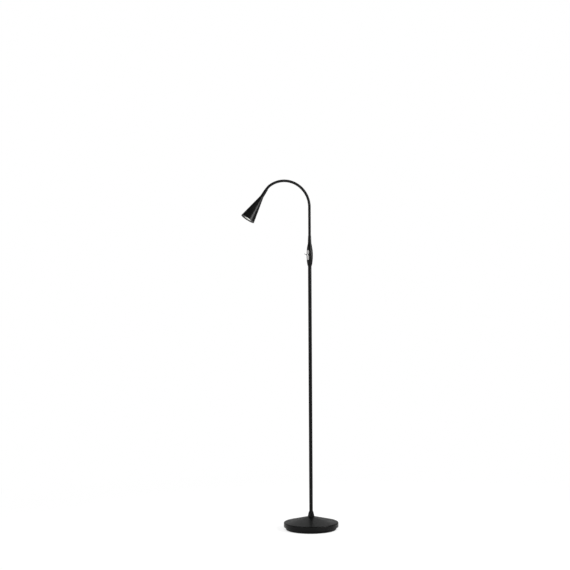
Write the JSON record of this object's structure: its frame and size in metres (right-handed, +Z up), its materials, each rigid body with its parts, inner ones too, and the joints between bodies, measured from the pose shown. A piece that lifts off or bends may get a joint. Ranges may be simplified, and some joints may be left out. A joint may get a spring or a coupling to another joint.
{
  "type": "floor lamp",
  "caption": "Floor lamp with a weighted round base, slim pole, spindle switch housing with toggle, flexible arched neck and a conical shade with a built-in light.",
  "frame": {"origin": "on the floor under the pole's axis, in the middle of the floor pad's underside", "axes": "+Z up along the pole; the neck arches towards -X and the cord inlet faces +X; -Y is the front as pictured"},
  "size_m": [0.3584, 0.2, 1.2779],
  "materials": {
    "black_paint": "satin",
    "black_plastic": "matte",
    "gloss_black": "gloss",
    "neck_sleeve": "satin",
    "foam_pad": "matte",
    "rubber": "matte",
    "iron": "matte",
    "zinc_steel": "satin",
    "black_steel": "satin",
    "brass": "satin",
    "silver_plate": "satin",
    "bright_metal": "polished",
    "aluminium": "satin",
    "board_white": "satin",
    "phosphor": "matte",
    "white_plastic": "gloss",
    "lens_white": "satin",
    "switch_case": "satin",
    "cable_jacket": "satin"
  },
  "bodies": {
    "base": {"ballast": "iron", "base_cover": "black_paint", "base_nut": "zinc_steel", "base_plate": "black_plastic", "base_screws": "zinc_steel", "base_stud": "zinc_steel", "base_washer": "zinc_steel", "cord_grommet": "rubber", "driver_screws": "zinc_steel", "floor_pad": "foam_pad", "foot_collar": "black_paint", "housing_screws": "black_steel", "led_driver": "white_plastic", "lower_neck_stud": "brass", "neck_link_00": "neck_sleeve", "neck_socket": "black_paint", "plate_screws": "silver_plate", "pole": "black_paint", "pole_lead": "cable_jacket", "switch_housing": "black_paint", "switch_lead": "cable_jacket", "switch_plate": "silver_plate", "toggle_body": "switch_case", "toggle_bushing": "bright_metal", "toggle_nut": "bright_metal", "toggle_terminals": "brass"},
    "toggle": {"toggle_lever": "bright_metal"},
    "neck_01": {"neck_link_01": "neck_sleeve"},
    "neck_02": {"neck_link_02": "neck_sleeve"},
    "neck_03": {"neck_link_03": "neck_sleeve"},
    "neck_04": {"neck_link_04": "neck_sleeve"},
    "neck_05": {"neck_link_05": "neck_sleeve"},
    "neck_06": {"neck_link_06": "neck_sleeve"},
    "neck_07": {"neck_link_07": "neck_sleeve"},
    "neck_08": {"neck_link_08": "neck_sleeve"},
    "neck_09": {"neck_link_09": "neck_sleeve"},
    "neck_10": {"neck_link_10": "neck_sleeve"},
    "neck_11": {"neck_link_11": "neck_sleeve"},
    "neck_12": {"neck_link_12": "neck_sleeve"},
    "neck_13": {"neck_link_13": "neck_sleeve"},
    "head": {"neck_link_14": "neck_sleeve", "upper_neck_stud": "brass", "shade_ferrule": "black_paint", "shade": "black_paint", "shade_nut": "zinc_steel", "heat_sink": "aluminium", "led_board": "board_white", "board_screws": "zinc_steel", "led_chip": "phosphor", "reflector": "white_plastic", "lens": "lens_white", "lens_ring": "gloss_black", "head_lead": "cable_jacket"}
  },
  "joints": [
    {"name": "toggle_flip", "type": "hinge", "parent": "base", "child": "toggle", "pos_m": [-0.00918, -0.00281, 1.0035], "axis": [0.2924, -0.9563, 0], "range_deg": [0, 30]},
    {"name": "neck_lower_bend", "type": "hinge", "parent": "base", "child": "neck_01", "pos_m": [0, 0, 1.0862], "axis": [0.0087, -1, 0], "range_deg": [-25, 10]},
    {"name": "neck_lower_sway", "type": "hinge", "parent": "neck_01", "child": "neck_02", "pos_m": [0, 0, 1.10979], "axis": [1, 0.0087, 0], "range_deg": [-20, 20]},
    {"name": "neck_lower_bend_2", "type": "hinge", "parent": "neck_02", "child": "neck_03", "pos_m": [0, 0, 1.13338], "axis": [0.0087, -1, 0], "range_deg": [-25, 10]},
    {"name": "neck_lower_sway_2", "type": "hinge", "parent": "neck_03", "child": "neck_04", "pos_m": [0, 0, 1.15697], "axis": [1, 0.0087, 0], "range_deg": [-20, 20]},
    {"name": "neck_lower_bend_3", "type": "hinge", "parent": "neck_04", "child": "neck_05", "pos_m": [-0.00002, 0, 1.18057], "axis": [0.0087, -1, 0.0002], "range_deg": [-25, 10]},
    {"name": "neck_lower_sway_3", "type": "hinge", "parent": "neck_05", "child": "neck_06", "pos_m": [-0.00349, 0, 1.20384], "axis": [0.9631, 0.0087, 0.2689], "range_deg": [-20, 20]},
    {"name": "neck_upper_bend", "type": "hinge", "parent": "neck_06", "child": "neck_07", "pos_m": [-0.01258, 0, 1.22554], "axis": [0.0076, -1, 0.0043], "range_deg": [-28, 8]},
    {"name": "neck_upper_sway", "type": "hinge", "parent": "neck_07", "child": "neck_08", "pos_m": [-0.02676, 0, 1.24433], "axis": [0.7171, 0.0087, 0.6969], "range_deg": [-15, 15]},
    {"name": "neck_upper_bend_2", "type": "hinge", "parent": "neck_08", "child": "neck_09", "pos_m": [-0.04513, 0, 1.25903], "axis": [0.0046, -1, 0.0074], "range_deg": [-28, 8]},
    {"name": "neck_upper_sway_2", "type": "hinge", "parent": "neck_09", "child": "neck_10", "pos_m": [-0.06656, 0, 1.26875], "axis": [0.2964, 0.0087, 0.955], "range_deg": [-15, 15]},
    {"name": "neck_upper_bend_3", "type": "hinge", "parent": "neck_10", "child": "neck_11", "pos_m": [-0.08973, 0, 1.27287], "axis": [0.0004, -1, 0.0087], "range_deg": [-28, 8]},
    {"name": "neck_upper_sway_3", "type": "hinge", "parent": "neck_11", "child": "neck_12", "pos_m": [-0.11319, 0, 1.27115], "axis": [-0.1965, 0.0087, 0.9805], "range_deg": [-15, 15]},
    {"name": "neck_upper_bend_4", "type": "hinge", "parent": "neck_12", "child": "neck_13", "pos_m": [-0.13551, 0, 1.2637], "axis": [-0.0038, -1, 0.0079], "range_deg": [-28, 8]},
    {"name": "neck_upper_sway_4", "type": "hinge", "parent": "neck_13", "child": "head", "pos_m": [-0.1551, 0, 1.25071], "axis": [-0.6944, 0.0087, 0.7195], "range_deg": [-15, 15]}
  ],
  "couplings": [
    {"joint": "neck_lower_bend_2", "follows": "neck_lower_bend", "ratio": 1},
    {"joint": "neck_lower_bend_3", "follows": "neck_lower_bend", "ratio": 1},
    {"joint": "neck_lower_sway_2", "follows": "neck_lower_sway", "ratio": 1},
    {"joint": "neck_lower_sway_3", "follows": "neck_lower_sway", "ratio": 1},
    {"joint": "neck_upper_bend_2", "follows": "neck_upper_bend", "ratio": 1},
    {"joint": "neck_upper_bend_3", "follows": "neck_upper_bend", "ratio": 1},
    {"joint": "neck_upper_bend_4", "follows": "neck_upper_bend", "ratio": 1},
    {"joint": "neck_upper_sway_2", "follows": "neck_upper_sway", "ratio": 1},
    {"joint": "neck_upper_sway_3", "follows": "neck_upper_sway", "ratio": 1},
    {"joint": "neck_upper_sway_4", "follows": "neck_upper_sway", "ratio": 1}
  ]
}
